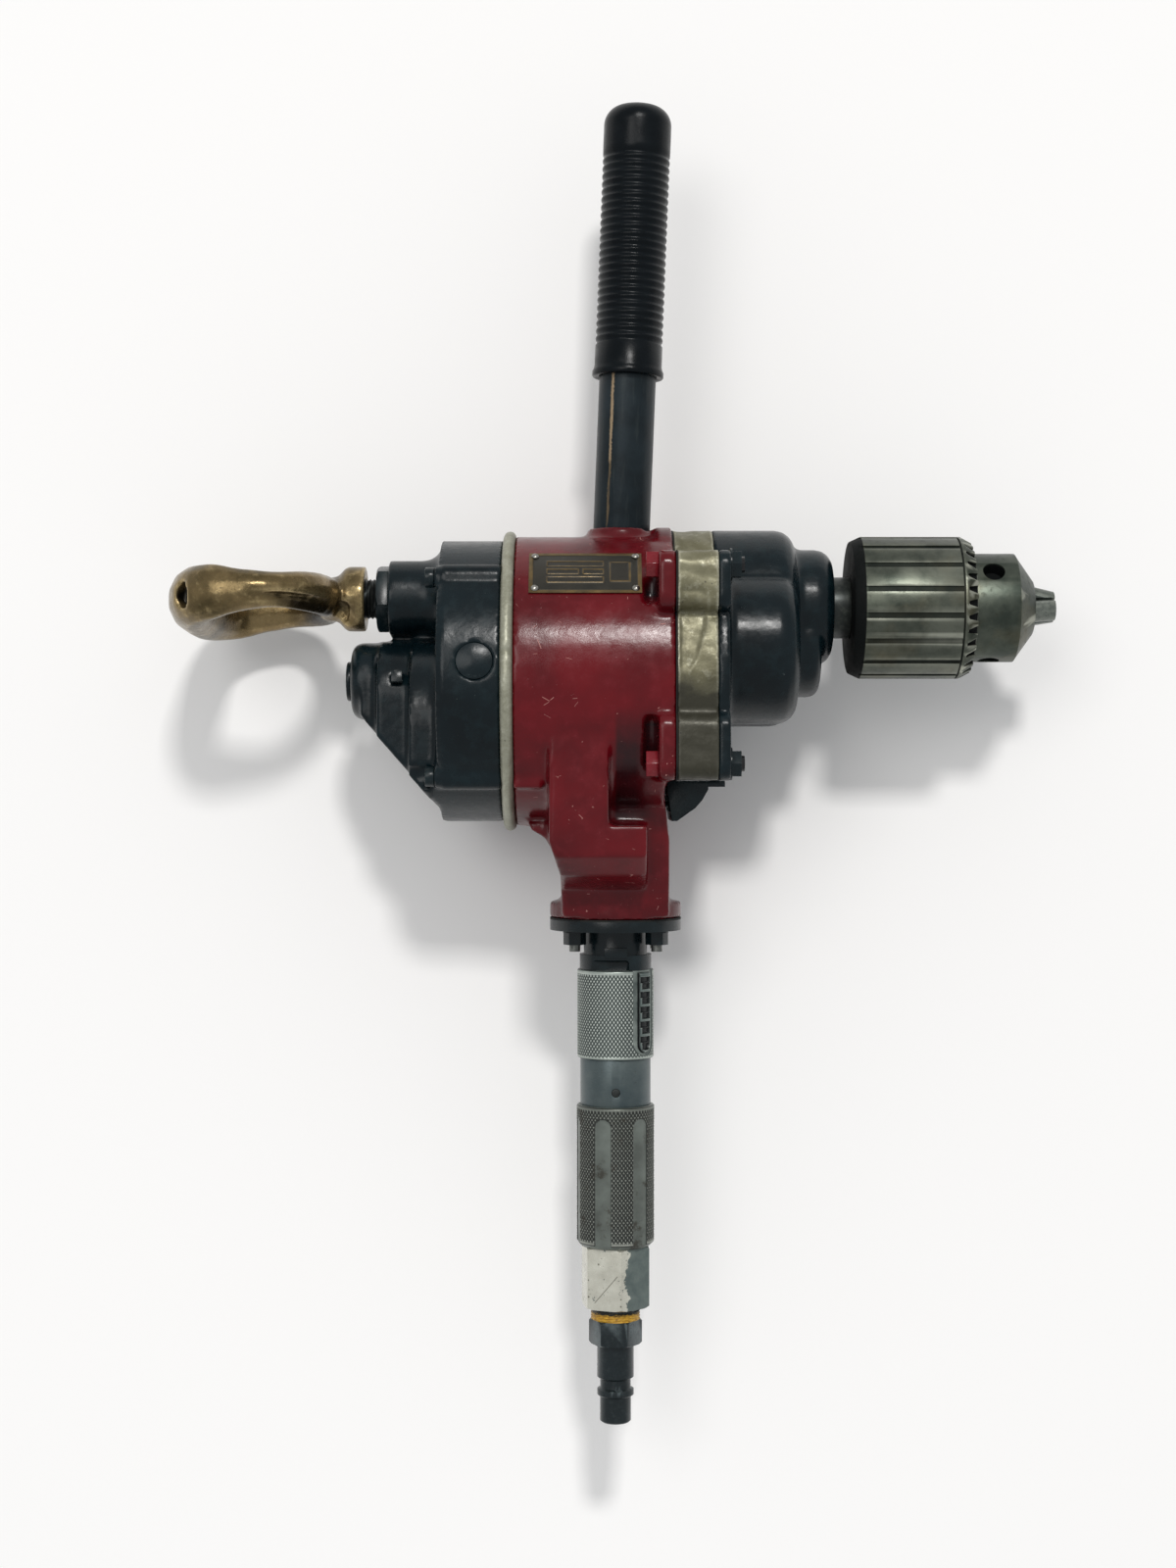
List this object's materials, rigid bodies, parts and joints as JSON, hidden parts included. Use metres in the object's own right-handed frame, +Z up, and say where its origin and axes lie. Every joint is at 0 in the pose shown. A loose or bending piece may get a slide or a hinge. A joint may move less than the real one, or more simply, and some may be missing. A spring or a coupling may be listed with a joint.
{
  "type": "pneumatic drill",
  "caption": "Air drill with a rotary vane motor, gear case, key chuck, throttle handle with air plug, straight dead handle and swivelling spade handle.",
  "frame": {"origin": "under the middle of the drill's bounding box, on the bench it lies on", "axes": "+X out of the chuck along the spindle, +Y along the dead handle away from the throttle handle, +Z up, out of the level plane in which the spindle and both side handles lie"},
  "size_m": [0.4032, 0.6036, 0.1372],
  "materials": {
    "red_enamel": "worn crimson enamel on cast metal, chipped at the edges",
    "dark_enamel": "worn dark blue-green enamel on cast metal",
    "olive_casting": "bare cast alloy, stained olive",
    "handle_bronze": "bare cast alloy, stained golden brown, worn bright on the ridges",
    "dark_steel": "dark oily steel",
    "plate_metal": "etched plate with dark enamel and a bare rim",
    "screw_metal": "worn bright steel",
    "motor_iron": "machined iron",
    "motor_steel": "ground steel",
    "bearing_steel": "polished bearing steel",
    "vane_laminate": "phenolic laminate",
    "bush_bronze": "machined bronze",
    "seal_rubber": "black seal rubber",
    "gasket_fibre": "pressed fibre gasket",
    "handle_rubber": "ribbed black rubber, dusty",
    "chuck_steel": "oiled grey tool steel with brown stains",
    "knurled_steel": "knurled grey steel with dark grooves",
    "worn_plating": "worn plating with bare patches",
    "spring_steel": "spring wire",
    "strainer_brass": "perforated brass",
    "thread_sealant": "cured yellow sealant",
    "plug_steel": "dark hardened steel"
  },
  "bodies": {
    "drill": {"motor_housing": "red_enamel", "name_plate": "plate_metal", "plate_screws": "screw_metal", "rear_end_plate": "olive_casting", "rear_cover": "dark_enamel", "core_plug": "dark_enamel", "oil_plug": "dark_enamel", "bearing_cap": "dark_enamel", "cover_screws": "dark_enamel", "spade_stud": "dark_steel", "jam_nut": "dark_enamel", "cylinder_liner": "motor_iron", "front_end_plate": "motor_iron", "tail_bearing_outer": "bearing_steel", "front_bearing_outer": "bearing_steel", "spindle_bearing_outer": "bearing_steel", "bearing_balls": "bearing_steel", "flange_gasket": "gasket_fibre", "gear_spacer": "olive_casting", "gear_case": "dark_enamel", "housing_bolts": "red_enamel", "case_nuts": "dark_enamel", "bronze_bushes": "bush_bronze", "spindle_seal": "seal_rubber", "exhaust_hood": "dark_enamel", "hood_screw": "dark_enamel", "dead_handle_pipe": "dark_steel", "dead_handle_grip": "handle_rubber", "throttle_gasket": "gasket_fibre", "throttle_body": "dark_enamel", "flange_studs": "dark_steel", "flange_nuts": "dark_enamel", "throttle_spring": "spring_steel", "smooth_collar": "knurled_steel", "collar_screw": "screw_metal", "knurled_grip": "knurled_steel", "inlet_hex": "worn_plating", "air_strainer": "strainer_brass", "thread_sealant": "thread_sealant", "air_plug": "plug_steel"},
    "rotor": {"rotor": "motor_steel", "rotor_vanes": "vane_laminate", "tail_bearing_inner": "bearing_steel", "front_bearing_inner": "bearing_steel"},
    "intermediate": {"intermediate_shaft": "motor_steel", "intermediate_gear": "motor_steel"},
    "spindle": {"spindle": "chuck_steel", "spindle_gear": "motor_steel", "spindle_bearing_inner": "bearing_steel", "chuck_body": "chuck_steel"},
    "chuck_sleeve": {"chuck_sleeve": "chuck_steel", "chuck_nut": "chuck_steel"},
    "jaw_1": {"jaw_1": "chuck_steel"},
    "jaw_2": {"jaw_2": "chuck_steel"},
    "jaw_3": {"jaw_3": "chuck_steel"},
    "throttle": {"throttle_sleeve": "knurled_steel", "throttle_valve": "bush_bronze", "drive_pin": "motor_steel"},
    "spade_handle": {"spade_handle": "handle_bronze"}
  },
  "joints": [
    {"name": "spindle_spin", "type": "hinge", "parent": "drill", "child": "spindle", "pos_m": [0.00055, 0.0715, 0.0686], "axis": [1, 0, 0], "continuous": true},
    {"name": "intermediate_spin", "type": "hinge", "parent": "drill", "child": "intermediate", "pos_m": [0.00055, 0.05154, 0.08824], "axis": [1, 0, 0], "continuous": true},
    {"name": "rotor_spin", "type": "hinge", "parent": "drill", "child": "rotor", "pos_m": [0.00055, 0.03775, 0.0686], "axis": [1, 0, 0], "continuous": true},
    {"name": "sleeve_turn", "type": "hinge", "parent": "spindle", "child": "chuck_sleeve", "pos_m": [0.00055, 0.0715, 0.0686], "axis": [1, 0, 0], "range_deg": [-360, 3600]},
    {"name": "throttle_turn", "type": "hinge", "parent": "drill", "child": "throttle", "pos_m": [0.00055, 0.0715, 0.0686], "axis": [0, 1, 0], "range_deg": [0, 60], "stiffness_Nm_per_rad": 0.3, "springref_deg": -17.19},
    {"name": "handle_swivel", "type": "hinge", "parent": "drill", "child": "spade_handle", "pos_m": [0.00055, 0.07555, 0.0686], "axis": [1, 0, 0], "range_deg": [-90, 90]},
    {"name": "jaw_1_slide", "type": "slide", "parent": "spindle", "child": "jaw_1", "axis": [-0.9703, -0.0906, 0.2243], "range_m": [-0.0036, 0.0351]},
    {"name": "jaw_2_slide", "type": "slide", "parent": "spindle", "child": "jaw_2", "axis": [-0.9703, -0.1489, -0.1906], "range_m": [-0.0036, 0.0351]},
    {"name": "jaw_3_slide", "type": "slide", "parent": "spindle", "child": "jaw_3", "axis": [-0.9703, 0.2396, -0.0337], "range_m": [-0.0036, 0.0351]}
  ],
  "couplings": [
    {"joint": "intermediate_spin", "follows": "spindle_spin", "ratio": -3},
    {"joint": "rotor_spin", "follows": "spindle_spin", "ratio": 9},
    {"joint": "jaw_1_slide", "follows": "sleeve_turn", "m_per_rad": 0.00055704},
    {"joint": "jaw_2_slide", "follows": "sleeve_turn", "m_per_rad": 0.00055704},
    {"joint": "jaw_3_slide", "follows": "sleeve_turn", "m_per_rad": 0.00055704}
  ]
}
